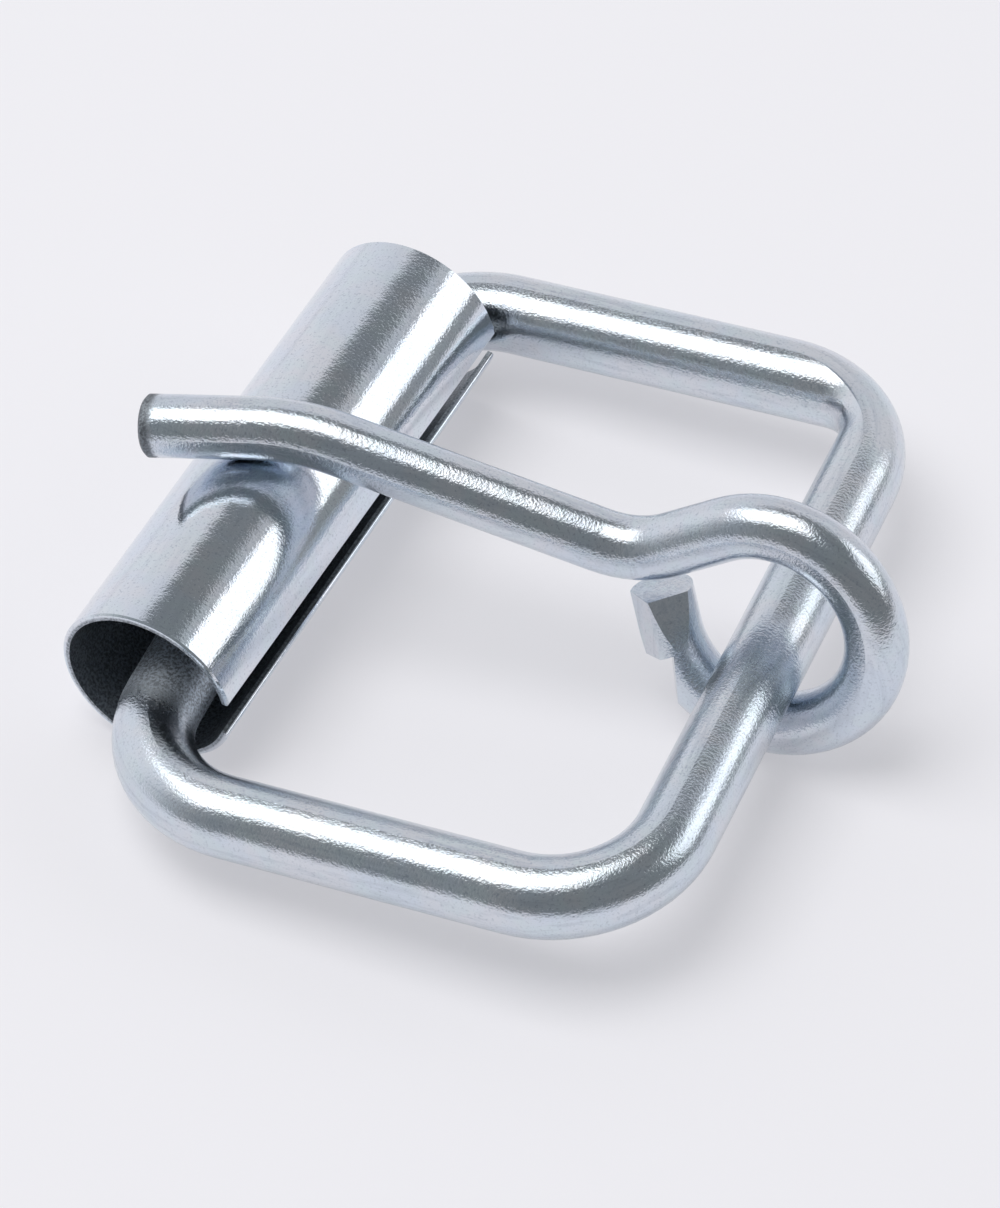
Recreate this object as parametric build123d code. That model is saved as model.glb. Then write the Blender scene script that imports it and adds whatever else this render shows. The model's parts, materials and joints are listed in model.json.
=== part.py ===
from build123d import *
import math
import os

# Wire roller buckle for a strap 25 mm wide, in millimetres.
# A round-wire frame, a rolled sheet roller loose on one cross bar, and a wire tongue whose open eye
# hangs on the other cross bar, the strap bar.
#
# The frame lies in its own plane first: x runs from the roller bar to the strap bar, y along both bars,
# z up out of the plane, and the origin is the middle of the strap bar's centre line.
# The whole buckle is then tilted about the strap bar to the way it rests on a table.

# Frame
frame_wire_d = 3.2
strap_width = 25.5
bar_spacing = 21.3
bend_inner_r = 3.15
pinched_inner_r = 1.2
wire_end_gap = 0.2

# Roller
roller_od = 7.4
roller_sheet = 0.3
roller_near_play = 2.75
roller_far_play = 0.42
roller_skew = 4.3
roller_bar_gap = 0.35
roller_bar_side = 46.0
slit_near_width = 1.7
slit_far_width = 1.15
slit_angle = 8.0
rim_edge_break = 0.07
lip_edge_r = 0.12

# Tongue
tongue_wire_d = 2.5
eye_inner_d = 6.1
eye_bar_gap = 0.1
eye_lean = 15.6
eye_offset = 0.43
eye_end_angle = 15.0
eye_end_gap = 0.5
neck_reach = 5.6
neck_rise = 1.75
neck_bend_r = 3.9
shaft_set = 7.7
shaft_bend_reach = 19.3
shaft_bend_r = 9.0
tip_fall = 8.7
tip_reach = 25.4
tongue_roller_gap = 0.1
tip_edge_break = 0.12
end_flat_depth = 0.25
end_flat_turn = 49.0
end_flat_length = 2.9
end_chisel_depth = 0.3
end_chisel_turn = 128.0
end_chisel_length = 2.2
nick_depth = 1.05
nick_far_depth = 0.35
nick_turn = 28.0
nick_length = 2.4
nick_angle = 26.0

# Sizes that follow
frame_r = frame_wire_d / 2
tongue_r = tongue_wire_d / 2
roller_r = roller_od / 2
bend_r = bend_inner_r + frame_r
half_width = strap_width / 2 + frame_r
bar_half = half_width - bend_r
lean = math.radians(eye_lean)
eye_r = eye_inner_d / 2 + tongue_r
eye_height = eye_r * math.cos(lean) - (frame_r + tongue_r + eye_bar_gap)

# The roller hangs on its bar: where the straight bar ends, the bar lies against the bore's wall.
bar_reach = roller_r - roller_sheet - frame_r - roller_bar_gap
roller_lift = bar_reach * math.sin(math.radians(roller_bar_side))
roller_shift = bar_reach * math.cos(math.radians(roller_bar_side)) - bar_half * math.tan(math.radians(roller_skew))
roller_len = strap_width - roller_near_play - roller_far_play
roller_mid = (roller_near_play - roller_far_play) / 2

# At rest the lowest point of the eye and the roller's underside are level.
eye_bottom = eye_height - eye_r * math.cos(lean) - tongue_r
roller_bottom = roller_lift - roller_r
rest_tilt = math.degrees(math.asin((roller_bottom - eye_bottom) / bar_spacing))

# The eye's own plane: forward is towards the roller, up leans back from the vertical.
eye_centre = Vector(0, eye_offset, eye_height)
eye_forward = Vector(-1, 0, 0)
eye_up = Vector(0, math.sin(lean), math.cos(lean))
eye_side = Vector(0, -math.cos(lean), math.sin(lean))


def tongue_point(forward, up):
    """A point of the tongue's bending plane; beyond the neck the shaft is set to one side."""
    past = max(forward - neck_reach, 0)
    turn = math.radians(shaft_set)
    along = min(forward, neck_reach) + past * math.cos(turn)
    return eye_centre + eye_forward * along + eye_up * up + eye_side * (past * math.sin(turn))


def eye_point(angle):
    """A point of the eye's centre line, at an angle from forward through up, in degrees."""
    turn = math.radians(angle)
    return tongue_point(eye_r * math.cos(turn), eye_r * math.sin(turn))


def across_eye(point, angle):
    """The plane across the eye's wire at a point: x points outward and z along the wire to its free end."""
    turn = math.radians(angle)
    outward = eye_forward * math.cos(turn) + eye_up * math.sin(turn)
    onward = eye_up * math.cos(turn) - eye_forward * math.sin(turn)
    return Plane(origin=point, x_dir=outward, z_dir=onward)


def height_over(forward, height):
    """How far up the bending plane a point has to be to stand at a height above the frame's plane."""
    return (height - tongue_point(forward, 0).Z) / eye_up.Z


def wire(path, radius):
    """Round wire along a path."""
    start = Plane(origin=path @ 0, z_dir=path % 0)
    return sweep(start * Circle(radius), path=path)


def make_frame():
    """One wire bent into a closed rounded rectangle; its ends meet on the roller bar."""
    end = wire_end_gap / 2
    path = FilletPolyline(
        (-bar_spacing, end),
        (-bar_spacing, half_width),
        (0, half_width),
        (0, -half_width),
        (-bar_spacing, -half_width),
        (-bar_spacing, -end),
        radius=bend_r,
    )
    return wire(path, frame_r) - pinched_away()


def pinched_away():
    """What the tight inside of the far bend at the strap bar lacks against an even bend."""
    path = FilletPolyline(
        (-bend_r, half_width),
        (0, half_width),
        (0, half_width - bend_r),
        radius=pinched_inner_r + frame_r,
    )
    inside = Box(bend_r, bend_r, frame_wire_d, align=(Align.MIN, Align.MIN, Align.CENTER))
    inside &= Cylinder(bend_r, frame_wire_d)
    return Pos(-bend_r, half_width - bend_r, 0) * inside - wire(path, frame_r)


def make_roller():
    """Sheet strip rolled into a tube, with an open slit that faces the window of the frame."""
    bore_r = roller_r - roller_sheet
    tube = extrude(Circle(roller_r) - Circle(bore_r), amount=roller_len)
    slit = make_face(Polyline(
        (0, -slit_far_width / 2),
        (roller_len, -slit_near_width / 2),
        (roller_len, slit_near_width / 2),
        (0, slit_far_width / 2),
        close=True,
    ))
    slit = Plane(origin=(0, 0, 0), x_dir=(0, 0, 1), z_dir=(1, 0, 0)) * extrude(slit, amount=roller_od)
    strip = tube - Rot(0, 0, -slit_angle) * slit
    rims = strip.edges().filter_by(GeomType.CIRCLE).group_by(SortBy.RADIUS)[-1]
    strip = chamfer(rims, rim_edge_break)
    lips = strip.edges().filter_by(GeomType.ELLIPSE)
    outer_lips = lips.filter_by(lambda edge: math.hypot((edge @ 0.5).X, (edge @ 0.5).Y) > (roller_r + bore_r) / 2)
    strip = fillet(outer_lips, lip_edge_r)
    # Local x, y and z become x, z and -y of the frame, so the tube is turned end for end.
    axis = Location((roller_shift - bar_spacing, 0, roller_lift), (0, 0, -roller_skew))
    return axis * Pos(0, roller_len / 2 + roller_mid, 0) * Rot(90, 0, 0) * strip


def wedge(turn, depth, far_depth, length):
    """What a cutter takes from the side of the tongue's wire, turned about the wire, back from the end."""
    clear = 2 * tongue_r
    side = make_face(Polyline(
        (tongue_r - depth, 0),
        (clear, 0),
        (clear, -length),
        (tongue_r - far_depth, -length),
        close=True,
    ))
    return Rot(0, 0, turn) * extrude(Plane.XZ * side, amount=clear, both=True)


def make_tongue():
    """One wire: the free end, the eye round the bar, the neck, the shaft and the tip."""
    neck_distance = math.hypot(neck_reach, neck_rise)
    neck_angle = math.degrees(math.atan2(neck_rise, neck_reach))
    leave_angle = neck_angle + math.degrees(math.acos(eye_r / neck_distance))
    end_angle = -eye_end_angle

    # The tip's straight lies tangent to the roller, with a small gap.
    fall = math.radians(tip_fall)
    over_roller = bar_spacing - roller_shift
    rest_height = roller_lift + (roller_r + tongue_r + tongue_roller_gap) / math.cos(fall)
    rest_up = height_over(over_roller, rest_height)
    bend_up = rest_up + (over_roller - shaft_bend_reach) * math.tan(fall)
    tip_up = rest_up - (tip_reach - over_roller) * math.tan(fall)

    eye = ThreePointArc(eye_point(end_angle), eye_point((end_angle + leave_angle) / 2 - 180), eye_point(leave_angle))
    shaft = FilletPolyline(
        eye_point(leave_angle),
        tongue_point(neck_reach, neck_rise),
        tongue_point(shaft_bend_reach, bend_up),
        tongue_point(tip_reach, tip_up),
        radius=[neck_bend_r, shaft_bend_r],
    )

    # The free end runs straight up from the eye and stops short of the shaft's underside.
    leave = math.radians(leave_angle)
    end_turn = math.radians(end_angle)
    end_forward = eye_r / math.cos(end_turn)
    shaft_up = neck_rise + (neck_reach - end_forward) / math.tan(leave)
    end_up = shaft_up - tongue_r / math.sin(leave) - eye_end_gap
    end_length = (end_up - eye_r * math.sin(end_turn)) / math.cos(end_turn)
    end_point = eye_point(end_angle) + (eye_up * math.cos(end_turn) - eye_forward * math.sin(end_turn)) * end_length
    path = Wire([Line(end_point, eye_point(end_angle)), eye] + shaft.edges())
    body = wire(path, tongue_r)
    tip_edge = body.edges().filter_by(GeomType.CIRCLE).sort_by_distance(tongue_point(tip_reach, tip_up))[0]
    body = chamfer(tip_edge, tip_edge_break)

    # The free end was cut off with blunt jaws: a flat down one side, a chisel face and a nick below them.
    end = across_eye(end_point, end_angle)
    body -= end * wedge(end_flat_turn, end_flat_depth, end_flat_depth, end_flat_length)
    body -= end * wedge(end_chisel_turn, end_chisel_depth, 0, end_chisel_length)
    nick = wedge(nick_turn, nick_depth, nick_far_depth, nick_length)
    body -= across_eye(eye_point(-nick_angle), -nick_angle) * nick
    return body


def at_rest(piece, label):
    """Tilt a piece with the whole buckle, about the strap bar, and name it."""
    rested = Rot(0, -rest_tilt, 0) * piece
    rested.label = label
    return rested


os.makedirs("parts", exist_ok=True)
pieces = [
    at_rest(make_frame(), "frame"),
    at_rest(make_roller(), "roller"),
    at_rest(make_tongue(), "tongue"),
]
for piece in pieces:
    export_step(piece, "parts/" + piece.label + ".step")

whole = Compound(children=pieces).bounding_box()
print("tilt at rest", round(rest_tilt, 3), "lowest", round(whole.min.Z, 3), "size", whole.size)
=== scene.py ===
# %% [markdown]
# # A wire roller buckle, dressed for its photograph
# The buckle is three pieces of bright zinc-plated steel: a frame of round wire, a roller of thin sheet
# on one of its bars, and a wire tongue hooked round the other bar.
# All three are rigid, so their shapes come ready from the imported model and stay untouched.
# What Blender adds is the plating, the light of a small studio and the camera.

import json
import math

import bpy
from mathutils import Matrix, Vector


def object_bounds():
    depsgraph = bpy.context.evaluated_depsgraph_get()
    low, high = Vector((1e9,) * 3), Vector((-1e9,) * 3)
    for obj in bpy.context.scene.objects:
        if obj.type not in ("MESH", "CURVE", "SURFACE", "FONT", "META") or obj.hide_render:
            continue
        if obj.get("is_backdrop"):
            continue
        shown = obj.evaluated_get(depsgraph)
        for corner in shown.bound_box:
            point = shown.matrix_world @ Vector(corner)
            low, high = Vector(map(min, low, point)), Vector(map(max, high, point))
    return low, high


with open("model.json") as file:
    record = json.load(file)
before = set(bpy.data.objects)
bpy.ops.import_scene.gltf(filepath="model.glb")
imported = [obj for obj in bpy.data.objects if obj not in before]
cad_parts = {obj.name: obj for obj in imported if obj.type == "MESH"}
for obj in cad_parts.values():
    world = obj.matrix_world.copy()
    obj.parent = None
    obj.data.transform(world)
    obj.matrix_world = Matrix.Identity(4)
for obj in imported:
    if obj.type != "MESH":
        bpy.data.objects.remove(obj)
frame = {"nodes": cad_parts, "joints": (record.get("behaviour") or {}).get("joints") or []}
cad_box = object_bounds()

MM = 0.001
scene = bpy.context.scene
scene.view_settings.view_transform = "Standard"
print("pieces", sorted(frame["nodes"]), "box", [round(v / MM, 2) for corner in cad_box for v in corner])

# %% [markdown]
# ## The buckle's own frame
# The wire frame doesn't lie flat: the eye of the tongue is deeper than the roller, so the whole buckle rests
# tilted by about four degrees, turned about the strap bar. The camera and the finishes are simplest to place
# along the wire, so one matrix turns points of the untilted frame into the scene.
# The middle of the strap bar is the origin of both. The wire's centre line is given in millimetres, because
# the finishes are reckoned in them.

# %% Frame sizes and tilt
BAR_SPACING = 21.3
HALF_WIDTH = 14.35
BEND_RADIUS = 4.75
TILT = math.radians(-4.154)
tilted = Matrix.Rotation(TILT, 4, "Y")
print("tilt", round(math.degrees(TILT), 3), "degrees about the strap bar")

# %% [markdown]
# ## Camera
# The photograph is a close view from the near corner, from about 46 degrees above the frame's plane.
# A camera could be set by eye, but a small object gives it away quickly when the perspective is off, so its
# bearing, height, roll and distance were solved from the outlines of the frame.
# The focal length is in widths of the picture. The long lens goes with the distance of a quarter of a metre.

# %% Camera
VIEW_BEARING = math.radians(27.886)
VIEW_HEIGHT = math.radians(46.170)
VIEW_ROLL = math.radians(-6.996)
VIEW_DISTANCE = 254.42 * MM
VIEW_TARGET = Vector((-10.922, -0.798, 0.0)) * MM
SENSOR_WIDTH = 36.0
FOCAL_WIDTHS = 6.5443

towards_camera = Vector((
    math.cos(VIEW_HEIGHT) * math.sin(VIEW_BEARING),
    -math.cos(VIEW_HEIGHT) * math.cos(VIEW_BEARING),
    math.sin(VIEW_HEIGHT),
))
level_right = Vector((math.cos(VIEW_BEARING), math.sin(VIEW_BEARING), 0.0))
level_up = towards_camera.cross(level_right)
right = level_right * math.cos(VIEW_ROLL) + level_up * math.sin(VIEW_ROLL)
up = towards_camera.cross(right)

camera_data = bpy.data.cameras.new("camera")
camera_data.sensor_fit = "HORIZONTAL"
camera_data.sensor_width = SENSOR_WIDTH
camera_data.lens = SENSOR_WIDTH * FOCAL_WIDTHS
camera_data.clip_start = 5 * MM
camera = bpy.data.objects.new("camera", camera_data)
scene.collection.objects.link(camera)
facing = Matrix((right, up, towards_camera)).transposed().to_4x4()
place = Matrix.Translation(VIEW_TARGET + towards_camera * VIEW_DISTANCE)
camera.matrix_world = tilted @ place @ facing
scene.camera = camera
print("camera at", [round(v / MM, 1) for v in camera.matrix_world.translation])
print("lens", round(camera_data.lens, 1))

# %% [markdown]
# ## Shader maths as Python
# A finish is a sum of many small patterns, and as a node graph it soon becomes unreadable.
# The class below wraps one output socket. Sums on it add Math nodes, so a line such as `1 - mask * 0.4`
# reads as what it does. Numbers alone stay plain Python. Vectors and colours have methods of their own,
# because a Math node would turn a colour grey.

# %% A socket that can be reckoned with
class Value:
    """Wraps an output socket; each sum adds the node that works it out."""

    def __init__(self, socket):
        self.socket = socket

    def node(self, kind, settings, inputs, output=0):
        """Adds a node: its settings first, then the values or links of its sockets."""
        made = self.socket.id_data.nodes.new(kind)
        for name, setting in settings.items():
            setattr(made, name, setting)
        for name, given in inputs.items():
            if isinstance(given, Value):
                self.socket.id_data.links.new(given.socket, made.inputs[name])
            else:
                made.inputs[name].default_value = given
        return Value(made.outputs[output])

    def maths(self, operation, first, second=0.0):
        return self.node("ShaderNodeMath", {"operation": operation}, {0: first, 1: second})

    def __add__(self, other):
        return self.maths("ADD", self, other)

    __radd__ = __add__

    def __sub__(self, other):
        return self.maths("SUBTRACT", self, other)

    def __rsub__(self, other):
        return self.maths("SUBTRACT", other, self)

    def __mul__(self, other):
        return self.maths("MULTIPLY", self, other)

    __rmul__ = __mul__

    def __pow__(self, power):
        return self.maths("POWER", self, power)

    def most(self, other):
        return self.maths("MAXIMUM", self, other)

    def least(self, other):
        return self.maths("MINIMUM", self, other)

    def size(self):
        return self.maths("ABSOLUTE", self)

    def step(self, low, high):
        """0 below low, 1 above high and smooth between; low may be the larger."""
        kind = {"interpolation_type": "SMOOTHSTEP"}
        return self.node("ShaderNodeMapRange", kind, {"Value": self, "From Min": low, "From Max": high})

    def part(self, axis):
        """One component of a vector, 0 to 2 for X to Z."""
        return self.node("ShaderNodeSeparateXYZ", {}, {"Vector": self}, axis)

    def vector(self, x, y, z):
        return self.node("ShaderNodeCombineXYZ", {}, {"X": x, "Y": y, "Z": z})

    def along(self, direction):
        """How far a vector reaches along a direction."""
        given = {0: self, 1: direction}
        return self.node("ShaderNodeVectorMath", {"operation": "DOT_PRODUCT"}, given, "Value")

    def noise(self, scale, detail, roughness):
        """Noise at this place, with a mean of one half; scale is in grains per unit."""
        given = {"Vector": self, "Scale": scale, "Detail": detail, "Roughness": roughness}
        return self.node("ShaderNodeTexNoise", {}, given)

    def mix(self, first, second):
        """Colours or values mixed by this one as the factor."""
        given = {"Factor": self, 6: first, 7: second}
        return self.node("ShaderNodeMix", {"data_type": "RGBA"}, given, 2)


def colour(red, green, blue):
    return (red, green, blue, 1.0)


print("sockets ready")

# %% [markdown]
# ## The studio
# Bright plating is a mirror more than a colour: every band on the wire is a piece of the room.
# The bands were read back from the photograph: a large soft lamp nearly overhead, which leans away from
# the camera to the roller's side, a smaller one low behind the strap bar, a pale wall at the back and a dark
# room on the camera's side.
# A softbox is brighter in its middle than at its rim, so the overhead lamp is two rectangles of light, a
# smaller and stronger one inside a larger one. That gives the highlights a white core with a soft edge.
# The walls are a soft gradient in the world, which is easier to tune than cards and throws no shadows.

# %% Lamps
LAMP_DISTANCE = 0.5
OVERHEAD = (190.0, 71.0)
LOW = (30.0, 29.5)
WARM_WHITE = (1.0, 0.995, 0.985)
COOL_WHITE = (0.99, 0.995, 1.0)


def soft_lamp(name, aim, across, tall, radiance, tint):
    """A rectangle of light that faces the buckle; aim is a bearing and a height in degrees."""
    area = bpy.data.lights.new(name, "AREA")
    area.shape = "RECTANGLE"
    area.size = across
    area.size_y = tall
    area.energy = radiance * math.pi * across * tall
    area.color = tint
    turn, lift = [math.radians(angle) for angle in aim]
    way = Vector((math.cos(lift) * math.cos(turn), math.cos(lift) * math.sin(turn), math.sin(lift)))
    side = Vector((-math.sin(turn), math.cos(turn), 0.0))
    lamp = bpy.data.objects.new(name, area)
    scene.collection.objects.link(lamp)
    facing = Matrix((side, way.cross(side), way)).transposed().to_4x4()
    lamp.matrix_world = Matrix.Translation(way * LAMP_DISTANCE) @ facing


soft_lamp("overhead_lamp", OVERHEAD, 0.39, 0.43, 1.7, WARM_WHITE)
soft_lamp("overhead_core", OVERHEAD, 0.31, 0.34, 3.2, WARM_WHITE)
soft_lamp("low_lamp", LOW, 0.34, 0.26, 1.15, COOL_WHITE)

# %% The room around it
WALL_BEARING = math.radians(125)
ROLLER_SIDE = math.radians(190)
WALL_TOP = 0.755
WALL_TOP_SOFT = 0.015
WALL_GLOW = 0.52
SIDE_GLOW = 0.15
ROOM_GLOW = 0.24
WALL_AIR = colour(0.97, 0.97, 1.0)
ROOM_AIR = colour(0.915, 0.97, 1.0)

world = bpy.data.worlds.new("room")
scene.world = world
world.use_nodes = True
room = world.node_tree
room.nodes.clear()
direction = Value(room.nodes.new("ShaderNodeTexCoord").outputs["Generated"])

height = direction.part(2)
back = direction.along((math.cos(WALL_BEARING), math.sin(WALL_BEARING), 0.0))
side = direction.along((math.cos(ROLLER_SIDE), math.sin(ROLLER_SIDE), 0.0))
below_top = height.step(WALL_TOP + WALL_TOP_SOFT, WALL_TOP - WALL_TOP_SOFT)
wall = back.step(-0.25, 0.55) * below_top
glow = wall * WALL_GLOW + side.step(0.2, 0.9) * SIDE_GLOW + ROOM_GLOW
air = wall.mix(ROOM_AIR, WALL_AIR)
light = glow.node("ShaderNodeBackground", {}, {"Color": air, "Strength": glow})
room.links.new(light.socket, room.nodes.new("ShaderNodeOutputWorld").inputs["Surface"])
print("room nodes", len(room.nodes))

# %% [markdown]
# ## The table
# A plain sheet of pale card. Its faint lavender cast is in the photograph as well.
# It is one large plane at the height of the buckle's lowest point, and it only has to take a soft shadow.
# The camera and the plating see a share of the card as evenly lit paper. That keeps it pale without any more
# light on the buckle, and the rest of the card, which the lamps light, carries the shadow.

# %% Table
TABLE_HALF = 2.0
CARD = colour(0.82, 0.81, 0.845)
PAPER = colour(0.865, 0.86, 0.895)
PAPER_SHARE = 0.45
CARD_ROUGHNESS = 0.9
low, high = cad_box
table_mesh = bpy.data.meshes.new("table")
corners = [(x * TABLE_HALF, y * TABLE_HALF, low[2]) for x, y in ((-1, -1), (1, -1), (1, 1), (-1, 1))]
table_mesh.from_pydata(corners, [], [(0, 1, 2, 3)])
table = bpy.data.objects.new("table", table_mesh)
scene.collection.objects.link(table)
card = bpy.data.materials.new("pale_card")
card.use_nodes = True
card_tree = card.node_tree
card_paint = card_tree.nodes["Principled BSDF"]
card_paint.inputs["Base Color"].default_value = CARD
card_paint.inputs["Roughness"].default_value = CARD_ROUGHNESS
card_paint.inputs["Specular IOR Level"].default_value = 0.0
rays = card_tree.nodes.new("ShaderNodeLightPath")
seen = Value(rays.outputs["Is Camera Ray"]).most(Value(rays.outputs["Is Glossy Ray"]))
pale = seen.node("ShaderNodeEmission", {}, {"Color": PAPER, "Strength": 1.0})
mixed = card_tree.nodes.new("ShaderNodeMixShader")
card_tree.links.new((seen * PAPER_SHARE).socket, mixed.inputs["Fac"])
card_tree.links.new(card_paint.outputs["BSDF"], mixed.inputs[1])
card_tree.links.new(pale.socket, mixed.inputs[2])
card_tree.links.new(mixed.outputs["Shader"], card_tree.nodes["Material Output"].inputs["Surface"])
table_mesh.materials.append(card)
table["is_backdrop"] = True
print("table at", round(low[2] / MM, 3), "mm")

# %% [markdown]
# ## Bright zinc plating
# Zinc goes on as a thin bright coat and gets a bluish rinse. It is a mirror, so a grey paint with dark dots
# alone would look wrong: most of the grain that shows in the dark bands and at the edges of the highlights
# comes from tiny dents, each of which mirrors another part of the room. The floors of the dents and of the
# drawing grooves also get painted shade, a darker colour where the bump sinks. The tint is a quiet one, and
# wanders between grey, blue and teal over a few millimetres. Where the wire was drawn, faint streaks run
# along it.
# One function makes the finish. It is told how to find the place across the wire, for the streaks,
# and where the coat is thin, because there the steel is dull and dark.
# Grain is the depth of the dents, dent_shade how much painted shade darkens their floors, and streaks how
# strong the drawing marks and the painted shade in their grooves are. All the patterns are read in
# millimetres.

# %% The plating
DENTS_PER_MM = 9.5
STREAKS_PER_MM = 3.4
RELIEF = 0.015 * MM
LEAST_ROUGHNESS = 0.03
BLUE_TINT = (0.94, 0.99, 1.03)
TEAL_TINT = (0.93, 1.02, 1.0)
# The colour of the painted shade in the floors of the dents and of the drawing grooves.
RECESS_SHADE_TINT = (0.62, 0.66, 0.72)
DARK_STEEL_TINT = (0.42, 0.46, 0.51)
PALE_STEEL_TINT = (0.95, 1.03, 1.12)


def tinted(base, tint):
    """A base colour with each of its channels scaled by a tint."""
    return colour(base[0] * tint[0], base[1] * tint[1], base[2] * tint[2])


def plating(name, across_wire, thin_coat, base, steel, rough, grain, dent_shade, streaks):
    """Bright zinc; across_wire and thin_coat turn the place into a vector and a mask."""
    metal = bpy.data.materials.new(name)
    metal.use_nodes = True
    tree = metal.node_tree
    paint = tree.nodes["Principled BSDF"]
    place = Value(tree.nodes.new("ShaderNodeTexCoord").outputs["Object"])
    place = place.node("ShaderNodeVectorMath", {"operation": "SCALE"}, {0: place, "Scale": 1 / MM})

    cloud = place.noise(0.35, 3.0, 0.6)
    drift = place.noise(0.9, 2.0, 0.5)
    dents = place.noise(DENTS_PER_MM, 2.0, 0.6)
    drawn = across_wire(place).noise(STREAKS_PER_MM, 3.0, 0.65)
    thin = thin_coat(place, dents)

    blue = cloud.step(0.38, 0.62)
    teal = drift.step(0.42, 0.66)
    coat = blue.mix(colour(*base), tinted(base, BLUE_TINT))
    coat = (teal * 0.5).mix(coat, tinted(base, TEAL_TINT))
    # Painted shade: the colour is darkened in the floors of the dents and of the drawing grooves, where the
    # bump sinks.
    painted_recess_shade = dents.step(0.46, 0.28) * dent_shade + drawn.step(0.52, 0.34) * (streaks * 0.3)
    coat = painted_recess_shade.mix(coat, tinted(base, RECESS_SHADE_TINT))
    grey = (steel, steel, steel)
    dull = dents.step(0.35, 0.65).mix(tinted(grey, DARK_STEEL_TINT), tinted(grey, PALE_STEEL_TINT))
    tree.links.new(thin.mix(coat, dull).socket, paint.inputs["Base Color"])

    gloss = (cloud - 0.5) * 0.10 + (dents - 0.5) * (0.08 * grain) + thin * 0.42 + rough
    tree.links.new(gloss.most(LEAST_ROUGHNESS).socket, paint.inputs["Roughness"])
    paint.inputs["Metallic"].default_value = 1.0

    relief = dents * grain + drawn * (0.25 * streaks) + drift * 0.6
    bump = relief.node("ShaderNodeBump", {}, {"Strength": 1.0, "Distance": RELIEF, "Height": relief})
    tree.links.new(bump.socket, paint.inputs["Normal"])
    return metal


def dress(node, metal):
    """Gives a carried-over node its finish."""
    mesh = frame["nodes"][node].data
    mesh.materials.clear()
    mesh.materials.append(metal)
    print(node, "wears", metal.name, "with", len(metal.node_tree.nodes), "nodes")


# %% [markdown]
# ### The roller's axis
# Two of the finishes need to know where the roller is: it is dull inside, and so is the wire that runs
# through it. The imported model's joint says where the axis lies. The roller's middle is a little way along
# it, because the roller has slid to the far end of its bar.

# %% The roller's axis
spin = next(joint for joint in frame["joints"] if joint["name"] == "roller_spin")
AXIS_PLACE = Vector(spin["pos_m"]) / MM
AXIS_WAY = Vector(spin["axis"]).normalized()
ROLLER_MIDDLE = 1.165
ROLLER_HALF = 11.165


def along_roller(place):
    """Millimetres along the roller's axis, from the middle of the roller."""
    return place.along(AXIS_WAY) - (AXIS_PLACE.dot(AXIS_WAY) + ROLLER_MIDDLE)


def out_of_roller(place):
    """Millimetres out from the roller's axis."""
    centre = AXIS_PLACE + AXIS_WAY * ROLLER_MIDDLE
    given = {0: place, 1: centre}
    apart = place.node("ShaderNodeVectorMath", {"operation": "DISTANCE"}, given, "Value")
    return (apart ** 2 - along_roller(place) ** 2).most(0.0) ** 0.5


print("roller axis through", [round(v, 2) for v in AXIS_PLACE])

# %% [markdown]
# ### Streaks along the frame's wire
# The streaks have to turn with the wire at the bends. The distance from the centre line of a rounded
# rectangle and the height above its plane are the same all along one streak, so noise that is read at
# those two is a streak.

# %% Frame finish
SLOW_ALONG = 0.12
DULL_OUT_OF_ROLLER = 1.6
DULL_IN_ROLLER = 0.2
RAGGED = 2.0
ROLLER_BAR = (-17.0, -18.5)


def across_frame(place):
    """The place across the frame's wire, with a slow third coordinate along it."""
    lean = (math.cos(TILT), 0.0, -math.sin(TILT))
    rise = (math.sin(TILT), 0.0, math.cos(TILT))
    long_way = (place.along(lean) + BAR_SPACING / 2).size() - (BAR_SPACING / 2 - BEND_RADIUS)
    wide_way = place.part(1).size() - (HALF_WIDTH - BEND_RADIUS)
    corner = (long_way.most(0.0) ** 2 + wide_way.most(0.0) ** 2) ** 0.5
    outward = corner + long_way.most(wide_way).least(0.0)
    slow = (place.part(0) + place.part(1)) * SLOW_ALONG
    return place.vector(outward, place.along(rise), slow)


def thin_on_frame(place, dents):
    """The wire inside the roller and a little way out of it."""
    beyond = along_roller(place).size() + (dents - 0.5) * RAGGED
    inside = beyond.step(ROLLER_HALF + DULL_OUT_OF_ROLLER, ROLLER_HALF - DULL_IN_ROLLER)
    return inside * place.part(0).step(*ROLLER_BAR)


frame_plating = plating(
    "frame_plating",
    across_frame,
    thin_on_frame,
    base=(0.69, 0.715, 0.76),
    steel=0.85,
    rough=0.14,
    grain=0.95,
    dent_shade=0.55,
    streaks=1.0,
)
dress("frame", frame_plating)

# %% [markdown]
# ### Roller finish
# The roller is sheet, rolled smooth, so it mirrors more sharply than the wire and has hardly any streaks.
# The coat hardly reaches the inside of the tube.

# %% Roller finish
ROLLER_SLOW_ALONG = 0.06
SHEET_OUTSIDE = 3.59
SHEET_INSIDE = 3.49


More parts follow.
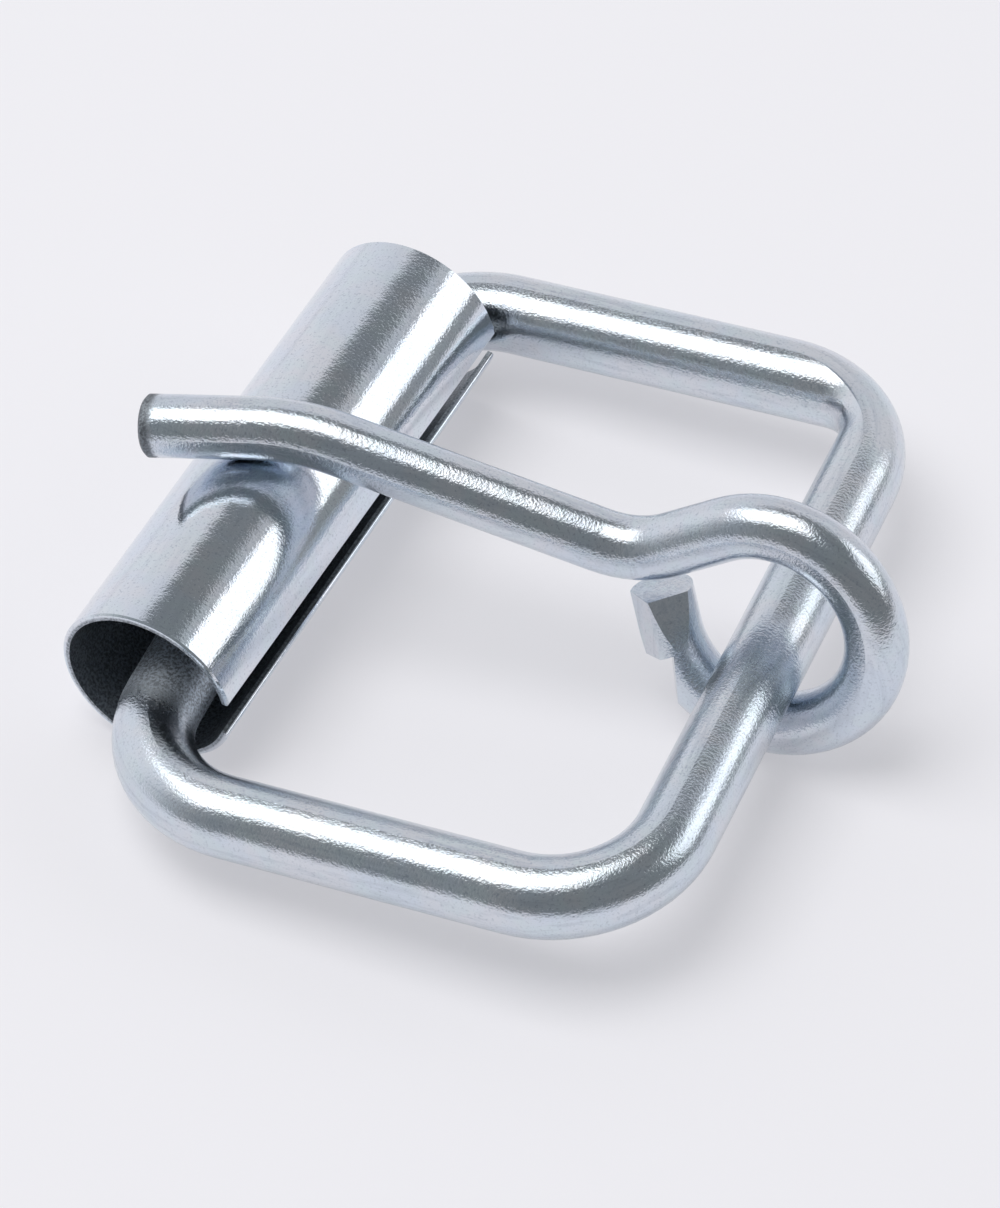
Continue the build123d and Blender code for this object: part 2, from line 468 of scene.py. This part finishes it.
def across_roller(place):
    """Streaks along the roller's axis, which runs nearly along Y."""
    return place.vector(place.part(0), place.part(1) * ROLLER_SLOW_ALONG, place.part(2))


def thin_in_roller(place, dents):
    """The inside of the tube."""
    return out_of_roller(place).step(SHEET_OUTSIDE, SHEET_INSIDE)


roller_plating = plating(
    "roller_plating",
    across_roller,
    thin_in_roller,
    base=(0.75, 0.77, 0.82),
    steel=0.50,
    rough=0.055,
    grain=0.35,
    dent_shade=0.65,
    streaks=0.4,
)
dress("roller", roller_plating)

# %% [markdown]
# ### Tongue finish
# The tongue's streaks run along its shaft, and round the eye. Its tip was sheared off after plating, so the
# last half millimetre along the tip's own direction is bare.

# %% Tongue finish
TIP_WAY = (-0.969, -0.168, -0.181)
TIP_BARE = (23.62, 23.90)
TIP_RAGGED = 0.6
EYE = (-6.5, -5.0)


def across_tongue(place):
    """The place across the tongue's wire: along X on the shaft, round the bar at the eye."""
    to_axis = (place.part(0) ** 2 + place.part(2) ** 2) ** 0.5
    at_eye = place.part(0).step(*EYE)
    slow = place.part(0) * SLOW_ALONG
    height = (1 - at_eye) * place.part(2) + at_eye * to_axis
    return place.vector(slow, place.part(1), height)


def thin_on_tongue(place, dents):
    """The end of the tip."""
    return (place.along(TIP_WAY) + (dents - 0.5) * TIP_RAGGED).step(*TIP_BARE)


tongue_plating = plating(
    "tongue_plating",
    across_tongue,
    thin_on_tongue,
    base=(0.68, 0.705, 0.755),
    steel=0.30,
    rough=0.14,
    grain=0.95,
    dent_shade=0.55,
    streaks=0.8,
)
dress("tongue", tongue_plating)

# %% [markdown]
# ## Measure and finish
# The dressed buckle must be exactly as large as the imported one. Both boxes are set side by side, and the
# largest difference between them is printed.

# %% Sizes
dressed_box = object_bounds()
as_numbers = {
    "cad": [[float(v) for v in corner] for corner in cad_box],
    "visual": [[float(v) for v in corner] for corner in dressed_box],
}
corner_pairs = zip(as_numbers["cad"], as_numbers["visual"])
print("largest difference", max(abs(a - b) for cad, visual in corner_pairs for a, b in zip(cad, visual)))
